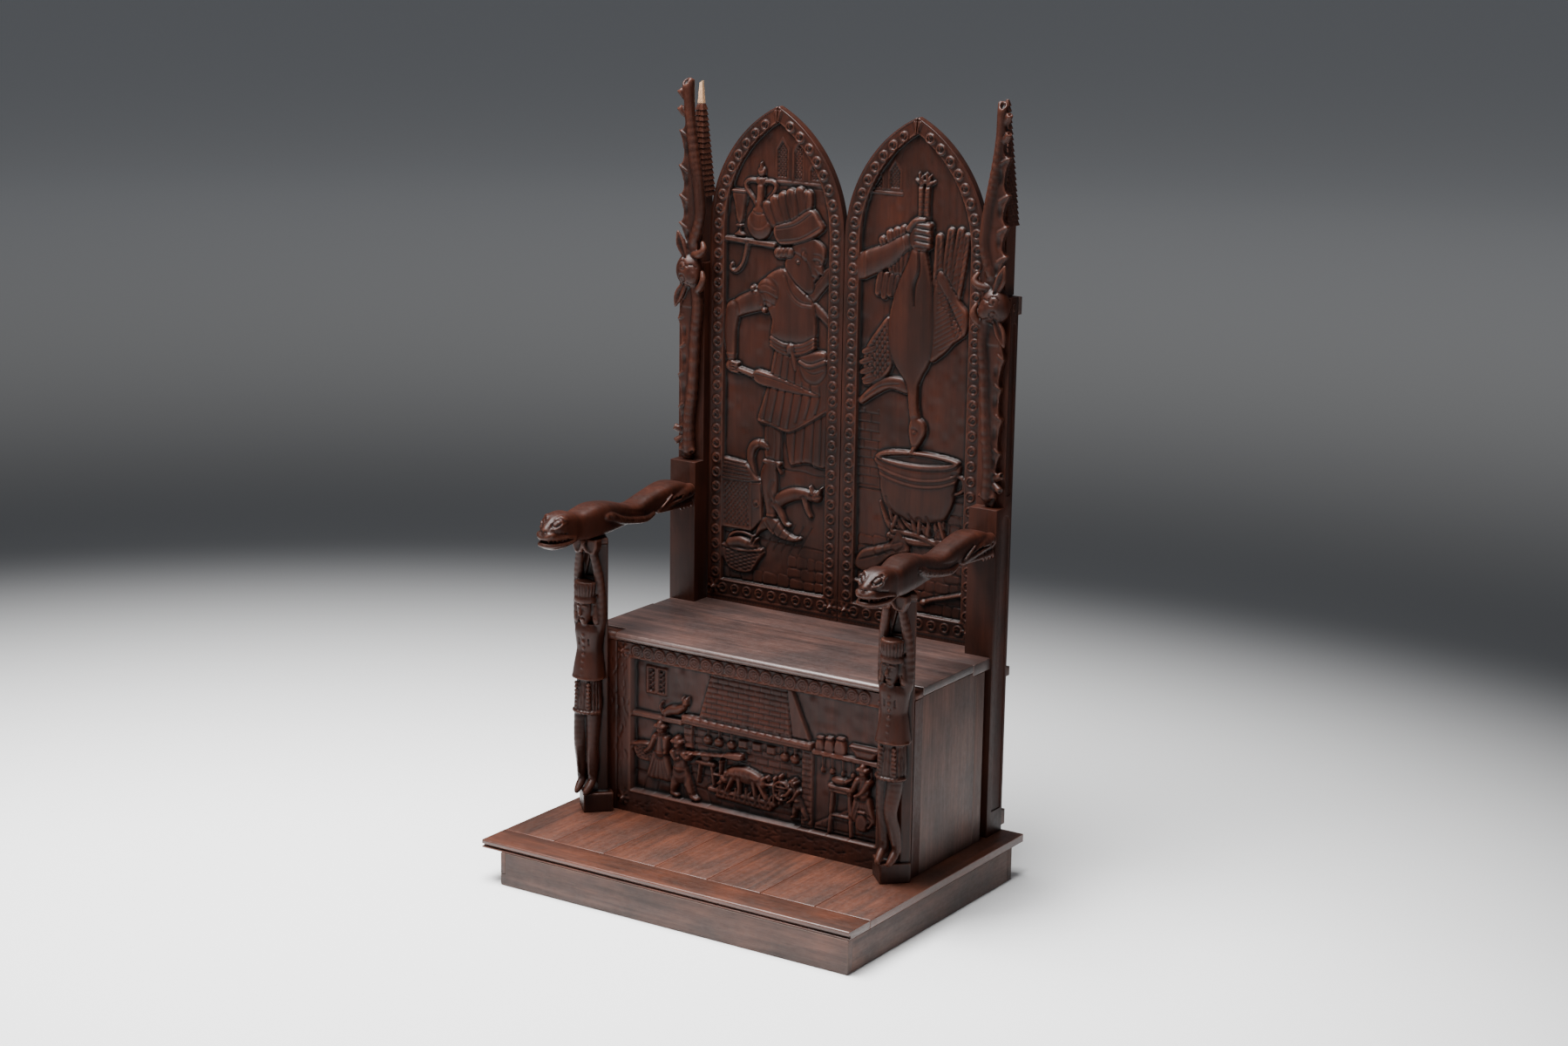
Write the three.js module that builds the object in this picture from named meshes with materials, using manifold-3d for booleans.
// Carved wooden throne on a dais: a hollow chest seat, two tall lancet back panels between posts with
// shingled spires, bat-like creatures on the post shoulders, and beasts as armrests on standing bearers.
// Millimetres, +Z up, the front faces -Y. The origin is the centre of the base.
import * as THREE from "three";
import { mergeVertices } from "three/addons/utils/BufferGeometryUtils.js";
import Module from "manifold-3d";

const wasm = await Module();
wasm.setup();

// ---- driving dimensions ----
const GAP = 0.3;                               // between touching pieces

const SKIRT = { left: -447, right: 523, depth: 737, top: 80, board: 20 };
const DECK = { left: -505, right: 524, front: 2, back: 790, top: 100, crossBoard: 90, planks: 7 };
const CHEST = { half: 462, front: 367, back: 710, wall: 20, panelTop: 527, seat: 550, frontBoard: 36 };
const LID = { thickness: 20, front: 357, back: 630, notchHalf: 376, notchDepth: 404 };
const STRIP = { thickness: 27, drop: 2 };
const POST = { inner: 391.7, outer: 466.5, front: 710, shoulder: 904.6, upright: 745, back: 782, top: 1400 };
const NECK = { x: 426.2, y: 773.5, half: 18, top: 1562 };
const SPIRE = { half: 26, rows: 18, tip: 1853, brokenFrom: 1790, brokenTip: 1838 };
const PANEL = { inner: 1, outer: 388, front: 763, back: 782, bottom: 548.5, apex: 1795, spring: 1490 };
const BORDER = { width: 42.5, apex: 1757, sill: 604, recess: 10 };
const BATTEN = { thickness: 17, half: 466 };
const BEARER = { x: 431, half: 44, footX: 423, footHalf: 52, y: 345, foot: 148, top: 785 };
const BEAST = { x: 429, rear: 709.6, leftHead: 434, rightHead: 449, headEnd: 230, neckEnd: 380 };
const FIELD = { left: -336, right: 362, bottom: 157, top: 491, recess: 20 };
// Moves the seat's own frame, x from its middle and y from the dais front, to the centre of the base.
const ORIGIN = { x: -(DECK.left + DECK.right) / 2, y: -(NECK.y + SPIRE.half) / 2 };

// ---- materials ----
const wood = (color, roughness) => new THREE.MeshStandardMaterial({ color, roughness, metalness: 0 });
const carvedWood = wood(0x4a2618, 0.42);
const lidWood = wood(0x5a3c36, 0.45);
const deckWood = wood(0x71382a, 0.55);
const skirtWood = wood(0x5c443a, 0.6);
const sideWood = wood(0x4c413d, 0.5);

// ---- closed bodies ----
// A solid from points and triangles, turned to face outwards.
function solid(points, triangles) {
  const build = (tris) => new wasm.Manifold(new wasm.Mesh({
    numProp: 3, vertProperties: new Float32Array(points.flat()), triVerts: new Uint32Array(tris.flat()),
  }));
  const made = build(triangles);
  return made.volume() < 0 ? build(triangles.map(([a, b, c]) => [a, c, b])) : made;
}

// A solid from a closed geometry.
function fromGeometry(geometry) {
  const bare = geometry.index ? geometry.toNonIndexed() : geometry.clone();
  bare.deleteAttribute("normal");
  bare.deleteAttribute("uv");
  const merged = mergeVertices(bare, 1e-3);
  const p = merged.attributes.position;
  const points = [...Array(p.count).keys()].map((i) => [p.getX(i), p.getY(i), p.getZ(i)]);
  const index = [...merged.index.array];
  const triangles = [];
  for (let i = 0; i < index.length; i += 3) {
    const t = index.slice(i, i + 3);
    if (new Set(t).size === 3) triangles.push(t);
  }
  return solid(points, triangles);
}

const join = (bodies) => bodies.reduce((all, body) => all.add(body));

// A box between two opposite corners.
function block([x0, y0, z0], [x1, y1, z1]) {
  const g = new THREE.BoxGeometry(x1 - x0, y1 - y0, z1 - z0);
  return fromGeometry(g.translate((x0 + x1) / 2, (y0 + y1) / 2, (z0 + z1) / 2));
}

// Rings with the same number of points, joined one to the next and closed at both ends.
function loft(rings) {
  const n = rings[0].length;
  const triangles = [];
  rings.slice(1).forEach((_, k) => {
    for (let i = 0; i < n; i++) {
      const a = k * n + i;
      const b = k * n + (i + 1) % n;
      triangles.push([a, b, b + n], [a, b + n, a + n]);
    }
  });
  const last = (rings.length - 1) * n;
  for (let i = 1; i < n - 1; i++) triangles.push([0, i + 1, i], [last, last + i, last + i + 1]);
  return solid(rings.flat(), triangles);
}

// A limb through nodes [x, y, z, radius, flat]: flat scales the radius across the reference direction.
function limb(nodes, sides = 6, across = [0, 1, 0]) {
  const points = nodes.map(([x, y, z]) => new THREE.Vector3(x, y, z));
  const rings = nodes.map(([, , , radius, flat = 1], i) => {
    const from = points[Math.max(i - 1, 0)];
    const to = points[Math.min(i + 1, points.length - 1)];
    const along = to.clone().sub(from).normalize();
    const side = new THREE.Vector3().crossVectors(along, new THREE.Vector3(...across)).normalize();
    const up = new THREE.Vector3().crossVectors(side, along).normalize();
    return [...Array(sides).keys()].map((k) => {
      const angle = ((k + 0.5) / sides) * 2 * Math.PI;
      const offset = side.clone().multiplyScalar(radius * Math.cos(angle))
        .addScaledVector(up, radius * flat * Math.sin(angle));
      return points[i].clone().add(offset).toArray();
    });
  });
  return loft(rings);
}

// An ellipsoid with few facets.
function blob([x, y, z], [rx, ry, rz], detail = 1) {
  const g = new THREE.IcosahedronGeometry(1, detail).scale(rx, ry, rz);
  return fromGeometry(g.translate(x, y, z));
}

// An outline of [x, z] points between two depths, front first.
function slab(outline, front, back, holes = []) {
  const shape = new THREE.Shape(outline.map(([x, z]) => new THREE.Vector2(x, z)));
  shape.holes = holes.map((hole) => new THREE.Path(hole.map(([x, z]) => new THREE.Vector2(x, z))));
  const g = new THREE.ExtrudeGeometry(shape, { depth: back - front, bevelEnabled: false });
  return fromGeometry(g.rotateX(Math.PI / 2).translate(0, back, 0));
}

// A raised stroke on an upright field: nodes are [x, z, half width], with a flat crown and sloping sides.
function stroke(nodes, field, height, crown = 0.62) {
  const rings = nodes.map(([x, z, radius], i) => {
    const [x0, z0] = nodes[Math.max(i - 1, 0)];
    const [x1, z1] = nodes[Math.min(i + 1, nodes.length - 1)];
    const length = Math.hypot(x1 - x0, z1 - z0);
    const across = [(z1 - z0) / length, (x0 - x1) / length];
    const at = (reach, y) => [x + across[0] * reach, y, z + across[1] * reach];
    const top = field - height;
    return [at(-radius, field + 1), at(-radius * crown, top), at(radius * crown, top), at(radius, field + 1)];
  });
  return loft(rings);
}

// Half of a pointed arch from its spring to its apex, as [x, z] points about the middle line.
function archSide(half, spring, apex, steps = 6) {
  const rise = apex - spring;
  const radius = (rise * rise + half * half) / (2 * half);
  const sweep = Math.asin(rise / radius);
  return [...Array(steps + 1).keys()].map((i) => {
    const a = (sweep * i) / steps;
    return [radius * Math.cos(a) - (radius - half), spring + radius * Math.sin(a)];
  });
}

// A pointed-arch outline about x = middle, counter-clockwise from its lower right corner.
function lancet(middle, half, bottom, spring, apex, steps = 6) {
  const right = archSide(half, spring, apex, steps);
  const left = right.slice(0, -1).reverse().map(([x, z]) => [-x, z]);
  return [[half, bottom], ...right, ...left, [-half, bottom]].map(([x, z]) => [middle + x, z]);
}

// ---- the group ----
const throne = new THREE.Group();

function add(name, material, body) {
  const mesh = body.getMesh();
  const geometry = new THREE.BufferGeometry();
  geometry.setAttribute("position", new THREE.BufferAttribute(new Float32Array(mesh.vertProperties), 3));
  geometry.setIndex([...mesh.triVerts]);
  geometry.translate(ORIGIN.x, ORIGIN.y, 0);
  geometry.computeVertexNormals();
  const piece = new THREE.Mesh(geometry, material);
  piece.name = name;
  throne.add(piece);
}
const SIDES = [["left", -1], ["right", 1]];
const mirror = (body, side) => (side < 0 ? body.mirror([1, 0, 0]) : body);

// ---- joinery ----
const BASE = DECK.top + GAP;                    // everything above stands on the deck

// An outline of [y, z] points run along x.
function molding(outline, x0, x1) {
  const shape = new THREE.Shape(outline.map(([y, z]) => new THREE.Vector2(y, z)));
  const g = new THREE.ExtrudeGeometry(shape, { depth: x1 - x0, bevelEnabled: false });
  return fromGeometry(g.rotateX(Math.PI / 2).rotateZ(Math.PI / 2).translate(x0, 0, 0));
}

function dais() {
  const { left, right, depth, top, board } = SKIRT;
  const notch = { width: 14, drop: 52 };
  const rear = depth - board - GAP;
  const frontBoard = block([left, 0, 0], [right, board, top]);
  const notchCut = block([left - 1, -1, top - notch.drop], [left + notch.width, board + 1, top + 1]);
  add("dais_skirt_front", skirtWood, frontBoard.subtract(notchCut));
  const leftBoard = block([left, board + GAP, 0], [left + board, rear, top]);
  const tongueLow = top - notch.drop + GAP;
  const tongue = block([left, 0, tongueLow], [left + notch.width - GAP, board + 1, top]);
  add("dais_skirt_left", skirtWood, leftBoard.add(tongue));
  add("dais_skirt_right", skirtWood, block([right - board, board + GAP, 0], [right, rear, top]));
  add("dais_skirt_back", skirtWood, block([left, depth - board, 0], [right, depth, top]));

  const low = top + GAP;
  const groove = { low: DECK.top - 16, high: DECK.top - 10, depth: 8 };
  const nosing = [
    [DECK.front, low], [DECK.crossBoard, low], [DECK.crossBoard, DECK.top], [DECK.front + 2, DECK.top],
    [DECK.front, DECK.top - 2], [DECK.front, groove.high], [DECK.front + groove.depth, groove.high],
    [DECK.front + groove.depth, groove.low], [DECK.front, groove.low],
  ];
  add("deck_front_board", deckWood, molding(nosing, DECK.left, DECK.right));
  const pitch = (DECK.right - DECK.left) / DECK.planks;
  for (let i = 0; i < DECK.planks; i++) {
    const x0 = DECK.left + pitch * i + (i ? 0.6 : 0);
    const x1 = DECK.left + pitch * (i + 1) - (i < DECK.planks - 1 ? 0.6 : 0);
    const plank = block([x0, DECK.crossBoard + 1, low], [x1, DECK.back, DECK.top]);
    add(`deck_plank_${i + 1}`, deckWood, plank);
  }
}

function chestBoards() {
  const { half, front, back, wall, frontBoard, seat } = CHEST;
  const under = seat - LID.thickness - GAP;
  const stripLow = seat - STRIP.drop - STRIP.thickness;
  const sideFront = front + frontBoard + GAP;
  const sideBack = 647;
  const stileBack = 686;
  const sideProfile = [
    [sideFront, BASE], [sideBack, BASE], [sideBack, stripLow - GAP], [LID.back, stripLow - GAP],
    [LID.back, under], [sideFront, under],
  ];
  for (const [name, side] of SIDES) {
    add(`chest_side_${name}`, sideWood, mirror(molding(sideProfile, half - wall, half), side));
    const stile = block([half - wall, sideBack + GAP, BASE], [half, stileBack, stripLow - GAP]);
    add(`chest_stile_${name}`, sideWood, mirror(stile, side));
  }
  const inside = half - wall - GAP;
  const floorTop = BASE + 16;
  add("chest_bottom", sideWood, block([-inside, sideFront, BASE], [inside, stileBack, floorTop]));
  const backBoard = block([-half + 14, stileBack + GAP, BASE], [half - 14, back - 2, stripLow - GAP]);
  add("chest_back", sideWood, backBoard);

  const radius = LID.thickness / 2;
  const nose = [...Array(7).keys()].map((i) => {
    const a = Math.PI / 2 + (Math.PI * i) / 6;
    return [LID.front + radius + radius * Math.cos(a), seat - radius + radius * Math.sin(a)];
  });
  const lidProfile = [[LID.back, seat], ...nose, [LID.back, seat - LID.thickness]];
  const middle = molding(lidProfile, -LID.notchHalf, LID.notchHalf);
  const rest = block([-half, LID.notchDepth, seat - LID.thickness], [half, LID.back, seat]);
  add("seat_lid", lidWood, middle.add(rest));
  const stripTop = seat - STRIP.drop;
  const wide = block([-half, LID.back + 1, stripLow], [half, back - GAP, stripTop]);
  const inset = POST.inner - GAP;
  const tongue = block([-inset, back - 1, stripLow], [inset, PANEL.back, stripTop]);
  add("seat_rear_strip", lidWood, wide.add(tongue));
}

// A square ring about (x, y) at height z.
const square = (x, y, z, half) => [[x - half, y - half, z], [x + half, y - half, z], [x + half, y + half, z],
  [x - half, y + half, z]];

function rearPost(broken) {
  const { inner, outer, front, shoulder, upright, back, top } = POST;
  const lower = block([inner, front, BASE], [outer, back, shoulder]);
  const board = block([inner, upright, shoulder - 1], [outer, back, top]);
  const neck = block([NECK.x - NECK.half, NECK.y - NECK.half, top - 1],
    [NECK.x + NECK.half, NECK.y + NECK.half, NECK.top]);
  // Shingle rows: each row flares a little over the one below it.
  const full = SPIRE.tip - NECK.top;
  const height = broken ? SPIRE.brokenFrom - NECK.top : full - 4;
  const rows = broken ? SPIRE.rows - 4 : SPIRE.rows;
  const at = (z) => SPIRE.half * (1 - (z / full) * 0.72);
  const rings = [];
  for (let i = 0; i < rows; i++) {
    const z0 = (height * i) / rows;
    const z1 = (height * (i + 1)) / rows;
    rings.push(square(NECK.x, NECK.y, NECK.top + z0, at(z0)));
    rings.push(square(NECK.x, NECK.y, NECK.top + z1, at(z1) - 1.8));
  }
  if (broken) {
    const stub = at(height) - 3;
    rings.push(square(NECK.x - 1, NECK.y, NECK.top + height + 0.5, stub));
    rings.push(square(NECK.x + 1, NECK.y, SPIRE.brokenTip - 3, stub * 0.62)
      .map(([x, y, z], i) => [x, y, z + (i === 1 ? 3 : 0)]));
  } else {
    rings.push(square(NECK.x, NECK.y, SPIRE.tip, 2));
  }
  const post = join([lower, board, neck, loft(rings)]);

  // Sunk round-headed fields on the outer face, and a rosette above them.
  const sunk = (y0, y1, z0, z1) => {
    const middle = (y0 + y1) / 2;
    const half = (y1 - y0) / 2;
    const head = [...Array(7).keys()].map((i) => {
      const a = (Math.PI * i) / 6;
      return [middle + half * Math.cos(a), z1 - half + half * Math.sin(a)];
    });
    return molding([[y0, z0], [y1, z0], ...head], outer - 3, outer + 1);
  };
  const cuts = [sunk(731, 775, 160, 885), sunk(755, 775, 930, 1340)];
  const rosette = new THREE.CylinderGeometry(10, 10, 4, 10).rotateZ(Math.PI / 2);
  const placed = fromGeometry(rosette.translate(outer, (upright + back) / 2, 1377));
  return join([cuts.reduce((all, cut) => all.subtract(cut), post), placed]);
}

function frameBack() {
  for (const [name, side] of SIDES) {
    add(`rear_post_${name}`, carvedWood, mirror(rearPost(side < 0), side));
  }
  const front = POST.back + GAP;
  const levels = { low: [112, 150], mid: [485, 508], top: [1356, 1398] };
  for (const [name, [z0, z1]] of Object.entries(levels)) {
    const batten = block([-BATTEN.half, front, z0], [BATTEN.half, front + BATTEN.thickness, z1]);
    add(`back_batten_${name}`, sideWood, batten);
  }
}

// ---- relief helpers: everything stands on a field at depth y and rises by a height towards the front ----
function plate(outline, field, height) {
  return slab(outline, field - height, field + 1);
}

// A low dome with an oval foot.
function mound([x, z], [rx, rz], field, height, sides = 7) {
  const ring = (y, scale) => [...Array(sides).keys()].map((i) => {
    const a = ((i + 0.5) / sides) * 2 * Math.PI;
    return [x + rx * scale * Math.cos(a), y, z + rz * scale * Math.sin(a)];
  });
  return loft([ring(field + 1, 1), ring(field - height, 0.7)]);
}

const bar = (x0, z0, x1, z1, half, field, height) => (
  stroke([[x0, z0, half], [x1, z1, half]], field, height, 0.75));

// A leaf-shaped feather or pleat from its root to its tip.
function leaf([x0, z0], [x1, z1], half, field, height) {
  return stroke([[x0, z0, half], [x1, z1, half * 0.7]], field, height, 0.4);
}

// ---- back panels ----
const MIDDLE = (PANEL.inner + PANEL.outer) / 2;
const PANEL_FIELD = PANEL.front + BORDER.recess;

function panelBoard() {
  const half = (PANEL.outer - PANEL.inner) / 2;
  const outline = lancet(MIDDLE, half, PANEL.bottom, PANEL.spring, PANEL.apex, 7);
  const board = slab(outline, PANEL.front, PANEL.back);
  const opening = lancet(MIDDLE, half - BORDER.width, BORDER.sill, PANEL.spring, BORDER.apex, 7);
  const field = slab(opening, PANEL.front - 1, PANEL_FIELD);
  const low = 562;
  const fillets = [low, BORDER.sill - 2].map((z) => (
    bar(PANEL.inner + 4, z, PANEL.outer - 4, z, 2.5, PANEL.front, 2)));
  const rosettes = [PANEL.inner + 23, PANEL.outer - 18].map((x) => (
    mound([x, (low + BORDER.sill) / 2], [16, 16], PANEL.front, 3, 6)));
  return join([board.subtract(field), ...fillets, ...rosettes]);
}

// The left scene, x to the left of the middle: a cook with a long knife, a shelf, a coffer, a basket and a cat.
function cookScene() {
  const F = PANEL_FIELD;
  const parts = [];
  const put = (...bodies) => parts.push(...bodies);

  // goblet, flask and shelf
  put(plate([[-326, 1583], [-318, 1515], [-309, 1497], [-310, 1482], [-322, 1473], [-290, 1473], [-302, 1482],
    [-303, 1497], [-294, 1515], [-288, 1583]], F, 6));
  put(mound([-246, 1508], [34, 37], F, 9));
  put(stroke([[-246, 1540, 12], [-244, 1575, 6], [-244, 1606, 9]], F, 7), mound([-244, 1636], [9, 20], F, 7, 6));
  for (const side of [-1, 1]) {
    put(stroke([[-246 + side * 10, 1612, 4], [-246 + side * 38, 1604, 4], [-246 + side * 30, 1568, 4],
      [-246 + side * 14, 1546, 4]], F, 6));
  }
  put(bar(-341, 1462, -205, 1458, 4.5, F, 9));
  put(stroke([[-283, 1456, 5], [-292, 1410, 4], [-315, 1386, 4], [-331, 1396, 5]], F, 6));

  // head: pleated toque, band, hair roll, plain profile face
  const pleats = [[-238, 1561], [-212, 1574], [-184, 1582], [-156, 1592], [-126, 1596], [-104, 1586]];
  pleats.forEach(([x, z], i) => put(leaf([-186 + i * 16, 1500 + i * 6], [x, z], 15, F, 9 + (i % 2))));
  put(plate([[-204, 1506], [-190, 1462], [-60, 1506], [-92, 1556]], F, 10));
  put(mound([-168, 1444], [30, 17], F, 10));
  put(plate([[-150, 1478], [-62, 1506], [-54, 1470], [-50, 1452], [-38, 1432], [-50, 1424], [-50, 1408], [-60, 1396],
    [-62, 1378], [-86, 1366], [-112, 1352], [-172, 1400], [-160, 1440]], F, 9));
  put(mound([-128, 1452], [10, 16], F, 11, 6));

  // torso, sleeves and arms
  put(plate([[-176, 1404], [-112, 1350], [-88, 1330], [-82, 1270], [-84, 1236], [-206, 1230], [-206, 1290],
    [-236, 1330], [-230, 1376]], F, 9));
  put(mound([-224, 1334], [36, 36], F, 11));
  put(stroke([[-248, 1316, 20], [-300, 1296, 19], [-330, 1284, 15]], F, 10));
  put(stroke([[-322, 1290, 17], [-330, 1230, 15], [-325, 1165, 11]], F, 10));
  put(mound([-322, 1150], [17, 15], F, 11));
  put(stroke([[-112, 1340, 12], [-44, 1398, 14]], F, 7));
  put(stroke([[-84, 1316, 11], [-42, 1282, 8]], F, 6));
  put(stroke([[-206, 1228, 11], [-166, 1212, 11], [-119, 1216, 10], [-84, 1234, 10]], F, 11));
  // knife
  put(stroke([[-312, 1146, 8], [-251, 1132, 9]], F, 11), stroke([[-252, 1130, 14], [-150, 1114, 10], [-61, 1103, 2]], F, 11));
  // pouch, apron and skirt
  put(plate([[-128, 1192], [-50, 1214], [-44, 1160], [-74, 1130], [-112, 1140]], F, 10));
  put(plate([[-192, 1214], [-84, 1216], [-38, 1190], [-34, 1070], [-43, 930], [-100, 924], [-153, 930], [-154, 1002],
    [-203, 1013], [-243, 1020], [-214, 1120]], F, 7));
  put(stroke([[-200, 1205, 8], [-224, 1110, 7], [-240, 1024, 7]], F, 10));
  put(stroke([[-60, 1180, 7], [-52, 1080, 6], [-48, 934, 6]], F, 9));

  // standing leg, shoe and the kicked-up shoe behind
  put(stroke([[-200, 1014, 24], [-200, 925, 22], [-208, 892, 26], [-204, 830, 20], [-201, 780, 14]], F, 9));
  put(stroke([[-212, 776, 14], [-184, 764, 15], [-150, 744, 12], [-118, 736, 3]], F, 10));
  put(stroke([[-212, 776, 12], [-247, 728, 3]], F, 8));
  put(stroke([[-214, 950, 10], [-244, 948, 15], [-276, 938, 6]], F, 9), stroke([[-262, 936, 10], [-248, 874, 6]], F, 8));

  // coffer with its lid, basket with a hare, cat, ledge and floor line
  put(plate([[-340, 916], [-280, 910], [-232, 868], [-346, 860]], F, 6));
  put(plate([[-347, 862], [-232, 868], [-226, 772], [-258, 738], [-346, 738]], F, 8));
  put(mound([-288, 676], [62, 46], F, 6, 10), bar(-340, 676, -228, 682, 4, F, 9), bar(-326, 612, -256, 612, 5, F, 7));
  put(stroke([[-310, 664, 14], [-276, 676, 13], [-252, 690, 10], [-240, 712, 4]], F, 11));
  put(stroke([[-182, 822, 14], [-150, 832, 17], [-110, 846, 14], [-74, 852, 13]], F, 9));
  put(mound([-70, 854], [16, 15], F, 11, 6), leaf([-80, 860], [-90, 876], 5, F, 9), leaf([-60, 862], [-53, 876], 5, F, 9));
  put(stroke([[-176, 820, 11], [-160, 790, 9], [-152, 770, 6]], F, 9), stroke([[-104, 844, 8], [-88, 814, 6]], F, 8));
  return parts;
}

// The right scene: a hand holds a goose by its feet over a cauldron on a fire.
function gooseScene() {
  const F = PANEL_FIELD;
  const parts = [];
  const put = (...bodies) => parts.push(...bodies);

  // legs and feet
  for (const [x, lean] of [[207, -4], [222, 4]]) {
    put(stroke([[x, 1540, 7], [x + lean, 1640, 6], [x + lean * 2.4, 1668, 4]], F, 9));
    put(stroke([[x + lean, 1640, 5], [x + lean * 6, 1655, 3]], F, 7));
  }
  // feathers behind the hand, then wings
  const fan = (tips, root) => tips.forEach(([x, z]) => put(leaf([root[0] + (x - root[0]) * 0.15, root[1]], [x, z], 13, F, 8)));
  fan([[99, 1507], [120, 1525], [140, 1533], [160, 1540], [183, 1545]], [160, 1400]);
  fan([[253, 1530], [283, 1550], [310, 1553], [333, 1540]], [272, 1380]);
  put(leaf([290, 1250], [336, 1500], 18, F, 7), leaf([270, 1240], [308, 1480], 18, F, 7));
  put(stroke([[256, 1440, 14], [300, 1380, 22], [318, 1300, 20], [250, 1228, 12]], F, 8));
  put(stroke([[124, 1306, 10], [92, 1270, 20], [80, 1210, 20], [112, 1170, 12]], F, 8));
  for (const z of [1150, 1182, 1214]) put(leaf([130, z + 26], [66, z - 20], 12, F, 6));
  put(stroke([[168, 1160, 18], [132, 1160, 13], [90, 1140, 12], [54, 1108, 8]], F, 8));
  // forearm and fist
  put(stroke([[46, 1432, 30], [110, 1462, 26], [180, 1508, 17]], F, 10));
  put(mound([214, 1520], [24, 32], F, 13));
  // body, neck and head
  put(stroke([[208, 1500, 14], [204, 1440, 30], [192, 1370, 52], [188, 1290, 62], [190, 1220, 46], [192, 1170, 18],
    [201, 1100, 12], [208, 1066, 16]], F, 12));
  put(stroke([[208, 1070, 20], [212, 1040, 22], [206, 1016, 13], [195, 992, 4]], F, 12));

  // cauldron
  put(plate([[100, 978], [112, 930], [117, 882], [143, 848], [225, 832], [290, 846], [316, 891], [330, 990],
    [280, 1000], [150, 994]], F, 11));
  put(stroke([[100, 978, 7], [160, 962, 7], [220, 959, 7], [290, 970, 7], [330, 990, 7]], F, 14));
  // trivet legs, flames and logs
  for (const [x, foot] of [[160, 140], [225, 222], [280, 300]]) put(bar(x, 836, foot, 780, 5, F, 10));
  for (const [x, z] of [[176, 826], [200, 834], [244, 834], [264, 822]]) put(leaf([x, 780], [x + 6, z], 10, F, 7));
  put(bar(150, 780, 296, 792, 8, F, 9), bar(160, 796, 290, 774, 7, F, 8));
  // bellows and a poker on the floor
  put(stroke([[50, 706, 10], [90, 730, 30], [140, 758, 26], [196, 752, 8]], F, 9));
  put(mound([160, 784], [20, 20], F, 10, 6));
  put(stroke([[238, 634, 6], [290, 650, 8], [340, 668, 6]], F, 8));
  return parts;
}

function backPanels() {
  const left = panelBoard().mirror([1, 0, 0]);
  add("back_panel_left", carvedWood, join([left, ...cookScene()]));
  add("back_panel_right", carvedWood, join([panelBoard(), ...gooseScene()]));
}

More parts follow.
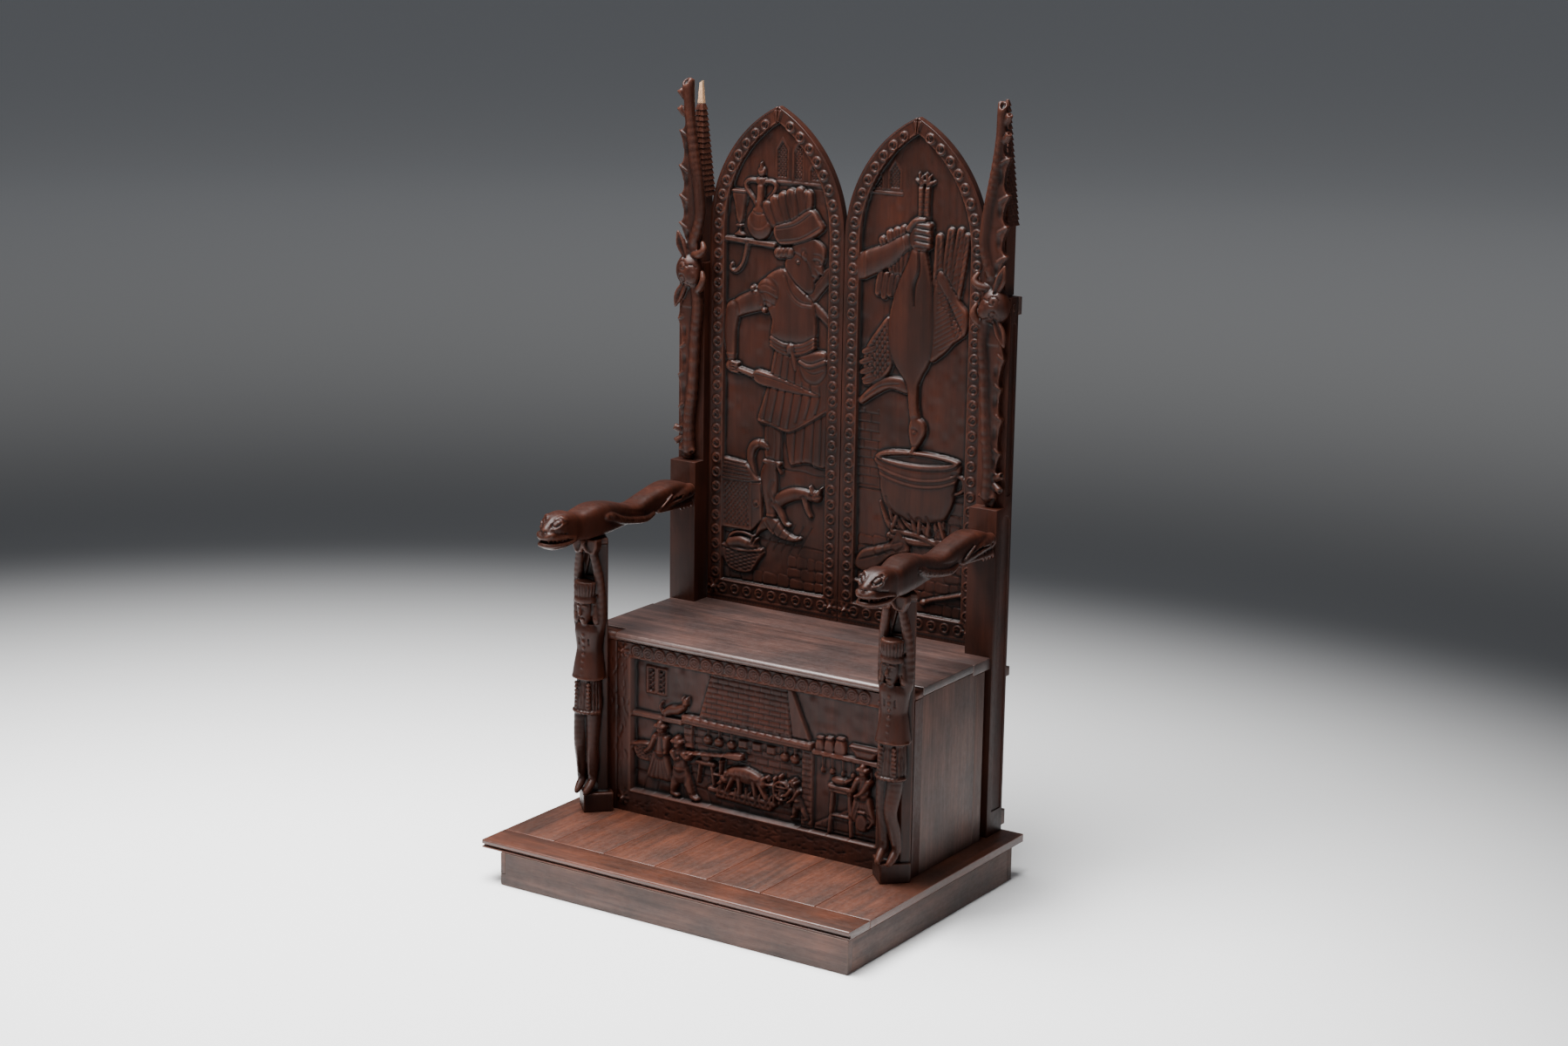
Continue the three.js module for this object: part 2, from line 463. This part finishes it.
// ---- chest front: a kitchen with a great hood, a hearth and its people ----
function chestFront() {
  const { half, front, frontBoard, panelTop, seat } = CHEST;
  const { left, right, bottom, top, recess } = FIELD;
  const back = front + frontBoard;
  const board = block([-half, front, BASE], [half, back, panelTop]);
  const ear = block([LID.notchHalf + 1, front, panelTop - 1], [half, back, seat - 5]);
  const sunk = block([left, front - 1, bottom], [right, front + recess, top]);
  const parts = [board.add(ear).add(ear.mirror([1, 0, 0])).subtract(sunk)];
  const put = (...bodies) => parts.push(...bodies);
  const F = front + recess;

  for (const x of [left - 22, right + 20]) {
    for (const z of [top + 17, bottom - 24]) put(mound([x, z], [13, 13], front, 3, 6));
  }
  put(bar(left - 2, top + 2, right + 2, top + 2, 2, front, 2), bar(left - 2, bottom - 3, right + 2, bottom - 3, 2, front, 2));
  // hood with its brick face and its right slope, chimney breast, mantel beam and pier
  put(plate([[-111, 487], [-144, 372], [123, 372], [107, 487]], F, 13));
  put(plate([[106, 487], [122, 372], [178, 372], [121, 487]], F, 7));
  put(bar(-190, 361, 183, 361, 9, F, 16));
  put(plate([[150, 353], [182, 353], [182, 160], [150, 160]], F, 8));
  put(plate([[-186, 353], [-168, 353], [-168, 290], [-186, 290]], F, 6));
  // shelves with their wares and a cat
  put(bar(left, 351, -193, 351, 5, F, 14), bar(186, 352, right, 352, 5, F, 14));
  put(stroke([[-240, 366, 8], [-222, 376, 11], [-200, 382, 9], [-184, 394, 7]], F, 11));
  for (const [x, z, r] of [[197, 372, 9], [222, 374, 10], [250, 378, 12]]) put(mound([x, z], [r, 17], F, 11, 6));
  put(plate([[288, 383], [300, 360], [346, 360], [358, 383]], F, 12));

  // a small clothed figure: head, body and legs along a leaning line
  const person = (x, z, height, lean, reach) => {
    const at = (t, side = 0) => [x + lean * t * height + side, z + height * t];
    put(mound(at(0.92), [height * 0.085, height * 0.1], F, 15, 6));
    put(stroke([[...at(0.84), height * 0.1], [...at(0.38), height * 0.13]], F, 14));
    for (const side of [-1, 1]) {
      put(stroke([[...at(0.42), height * 0.08], [...at(0.04, side * height * 0.16), height * 0.05]], F, 11));
    }
    put(stroke([[...at(0.76), height * 0.05], [...at(0.62, reach), height * 0.04]], F, 15));
  };
  person(-256, 196, 140, 0, -34);
  person(-190, 166, 136, -0.1, 44);
  person(320, 202, 130, 0, -32);
  person(150, 177, 92, -0.25, -44);
  // basket, peel, stool, roasting jack, turning beast and fire irons
  put(plate([[-330, 272], [-320, 238], [-278, 238], [-268, 272]], F, 14));
  put(stroke([[-186, 277, 4], [-70, 290, 4], [-22, 297, 9]], F, 16));
  put(bar(-144, 262, -98, 262, 5, F, 13), bar(-138, 258, -142, 214, 4, F, 11), bar(-104, 258, -100, 214, 4, F, 11));
  put(bar(-78, 276, -78, 204, 4, F, 12), bar(92, 269, 92, 204, 4, F, 12), bar(-92, 240, 118, 244, 3, F, 13));
  put(stroke([[-66, 232, 8], [-40, 246, 17], [0, 250, 20], [36, 242, 14], [52, 228, 8]], F, 15));
  for (const x of [-40, -16, 16, 34]) put(bar(x, 236, x - 6, 206, 5, F, 12));
  put(bar(-110, 200, 70, 196, 6, F, 10));
  // table, step and the things at the right
  put(plate([[225, 280], [298, 280], [290, 262], [232, 262]], F, 14));
  put(bar(238, 264, 232, 170, 6, F, 11), bar(284, 264, 290, 170, 6, F, 11), bar(232, 210, 290, 210, 4, F, 9));
  put(bar(236, 292, 284, 296, 9, F, 13));
  put(plate([[190, 160], [right + 0.5, 160], [right + 0.5, 176], [190, 190]], F, 6));
  add("chest_front", carvedWood, join(parts));
}

// ---- carved in the round ----
// Body rings [y, top, bottom, half width] about the line middle(y), with eight rounded corners each.
function animalBody(middle, rings) {
  return loft(rings.map(([y, top, bottom, half]) => [...Array(8).keys()].map((k) => {
    const a = ((k + 0.5) / 8) * 2 * Math.PI;
    const round = 1.05;
    const cx = Math.max(-1, Math.min(1, Math.cos(a) * round));
    const cz = Math.max(-1, Math.min(1, Math.sin(a) * round));
    return [middle(y) + half * cx, y, (top + bottom) / 2 + ((top - bottom) / 2) * cz];
  })));
}

// The head is carved a little out of line with the body, so the neck bends towards it.
function armBeast(side) {
  const { x, rear, headEnd, neckEnd } = BEAST;
  const head = side < 0 ? BEAST.leftHead : BEAST.rightHead;
  const middle = (y) => x + (head - x) * Math.max(0, Math.min(1, (neckEnd - y) / (neckEnd - headEnd)));
  const body = animalBody(middle, [
    [151, 824, 800, 12], [160, 833, 790, 20], [174, 848, 784, 26], [188, 864, 783, 31], [208, 869, 783, 34],
    [234, 867, 786, 35], [262, 857, 790, 32], [292, 862, 788, 36], [336, 868, 787, 39], [400, 860, 791, 38],
    [478, 840, 798, 32], [542, 852, 800, 31], [622, 866, 807, 36], [672, 862, 808, 37], [rear, 846, 806, 35],
  ]);
  const parts = [body];
  for (const s of [-1, 1]) {
    parts.push(limb([[x + s * 34, 360, 842, 10], [x + s * 34, 410, 820, 13], [x + s * 27, 515, 801, 10],
      [x + s * 25, 575, 807, 8]], 4, [1, 0, 0]));
    parts.push(limb([[x + s * 30, 690, 836, 16], [x + s * 32, 640, 826, 15], [x + s * 27, 578, 808, 9]], 4, [1, 0, 0]));
    parts.push(limb([[x + s * 27, 574, 806, 9], [x + s * 27, 700, 799, 11]], 4, [1, 0, 0]));
    parts.push(blob([head + s * 33, 240, 832], [7, 10, 20], 0));
    parts.push(blob([head + s * 21, 184, 850], [13, 14, 11], 0));
  }
  const mouth = block([head - 60, 60, 803], [head + 60, 214, 809]);
  const past = block([x - 80, rear, 700], [x + 80, rear + 60, 900]);
  const seatOnHands = block([x - 80, 262, 700], [x + 80, 420, BEARER.top + GAP]);
  return join(parts).subtract(mouth).subtract(past).subtract(seatOnHands);
}

function bearer() {
  const { x, half, footX, footHalf, y, foot, top } = BEARER;
  const flat = CHEST.front - GAP;
  const diamond = (mid, z, reach) => [[mid - reach, y, z], [mid, y - reach, z], [mid + reach, y, z],
    [mid, y + reach, z]];
  const prism = (mid, z0, z1, reach) => loft([diamond(mid, z0, reach), diamond(mid, z1, reach)]);
  const beltZ = 510;
  // The plain corner behind the figure, full at the foot and at the hands.
  const behind = loft([148, 560, 690, 772].map((z) => [
    [x - half + 4, y + 4, z - 1], [x - 22, y - 14, z - 1], [x + 22, y - 14, z - 1], [x + half - 4, y + 4, z - 1],
    [x, y + half, z - 1],
  ]));
  const oval = (z, rx, ry, cy) => [...Array(7).keys()].map((k) => {
    const a = (k / 7) * 2 * Math.PI - Math.PI / 2;
    return [x + rx * Math.cos(a), cy + ry * Math.sin(a), z];
  });
  const tunic = loft([oval(352, 32, 26, 327), oval(438, 36, 28, 327), oval(442, 31, 24, 328),
    oval(beltZ, 25, 20, 329), oval(550, 34, 23, 328), oval(575, 27, 20, 328)]);
  const parts = [prism(footX, BASE, foot, footHalf), behind, tunic, prism(x, 770, top, half - 2)];
  for (const s of [-1, 1]) {
    parts.push(limb([[x + s * 13, 322, 356, 15], [x + s * 12, 316, 270, 12], [x + s * 9, 318, 168, 10]], 4));
    parts.push(limb([[x + s * 9, 322, 170, 10], [x + s * 10, 298, 152, 8]], 4, [1, 0, 0]));
    parts.push(limb([[x + s * 20, 330, 552, 13], [x + s * 31, 334, 620, 13], [x + s * 26, 328, 720, 12],
      [x + s * 16, 318, 774, 12]], 4));
  }
  parts.push(blob([x, 314, 604], [22, 22, 35], 1));
  parts.push(loft([oval(628, 24, 24, 314), oval(668, 29, 27, 317), oval(681, 22, 20, 320)]));
  const recess = slab([[x - 20, 684], [x + 20, 684], [x, 754]], 250, 346);
  const overChest = block([x - 90, flat, 0], [x + 90, flat + 90, CHEST.seat + GAP]);
  const above = block([x - 90, 200, top], [x + 90, 500, top + 60]);
  return join(parts).subtract(recess).subtract(overChest).subtract(above);
}

// A bat-like creature on a post: head in the middle, a spiked wing above it and another below.
function bat() {
  const back = POST.upright - GAP;
  const parts = [];
  const wing = (inner, spikes, notchReach) => {
    const outer = [];
    spikes.forEach(([x, z], i) => {
      outer.push([x, z]);
      if (i < spikes.length - 1) outer.push([notchReach, (z + spikes[i + 1][1]) / 2]);
    });
    parts.push(slab([...outer, ...inner], 724, back));
  };
  wing([[418, 1848], [417, 1760], [405, 1660], [390, 1580], [386, 1520], [392, 1440]],
    [[446, 1440], [460, 1494], [462, 1563], [462, 1636], [462, 1720], [444, 1800], [440, 1848]], 444);
  wing([[430, 1310], [390, 1300], [392, 1191], [404, 1013], [408, 916]],
    [[440, 916], [453, 977], [458, 1030], [458, 1112], [457, 1183], [459, 1252], [446, 1310]], 449);
  // arm bones along the inner edges
  parts.push(limb([[424, 726, 1846, 9], [430, 722, 1760, 15], [412, 720, 1600, 19], [406, 724, 1440, 16]], 4));
  parts.push(limb([[408, 722, 1330, 17], [402, 718, 1288, 19], [414, 724, 1100, 19], [430, 726, 916, 20]], 4));
  // head with its ears up and down, fingers at its inner side, all on the spine behind them
  parts.push(block([402, 726, 1270], [444, back, 1460]));
  parts.push(blob([427, 716, 1378], [38, 28, 45], 1));
  parts.push(limb([[442, 712, 1405, 10], [454, 706, 1440, 12], [460, 704, 1470, 3]], 4));
  parts.push(limb([[444, 712, 1350, 10], [456, 706, 1318, 12], [462, 704, 1287, 3]], 4));
  parts.push(limb([[412, 704, 1384, 14], [404, 696, 1366, 11]], 4));
  for (const z of [1432, 1350]) parts.push(limb([[394, 718, z - 22, 8], [392, 714, z, 11], [394, 718, z + 22, 8]], 4));
  // claws at the top, toes at the shoulder
  for (const [x, z] of [[456, 1830], [459, 1790]]) {
    parts.push(limb([[438, 726, z - 16, 8], [x, 717, z, 8]], 4));
  }
  parts.push(limb([[436, 724, 1800, 10], [446, 716, 1848, 8]], 4));
  for (const [x, z] of [[464, 978], [461, 940], [444, 917], [414, 916]]) {
    parts.push(limb([[436, 726, 950, 12], [x, 706, z + 2, 9]], 4));
  }
  const shoulder = block([340, 600, 800], [520, 800, POST.shoulder + GAP]);
  const behind = block([340, back, 800], [520, 800, 1900]);
  return join(parts).subtract(shoulder).subtract(behind);
}

function carvedInTheRound() {
  for (const [name, side] of SIDES) {
    add(`arm_beast_${name}`, carvedWood, mirror(armBeast(side), side));
    add(`bearer_${name}`, carvedWood, mirror(bearer(), side));
    add(`bat_${name}`, carvedWood, mirror(bat(), side));
  }
}

dais();
chestBoards();
frameBack();
backPanels();
chestFront();
carvedInTheRound();

export default throne;
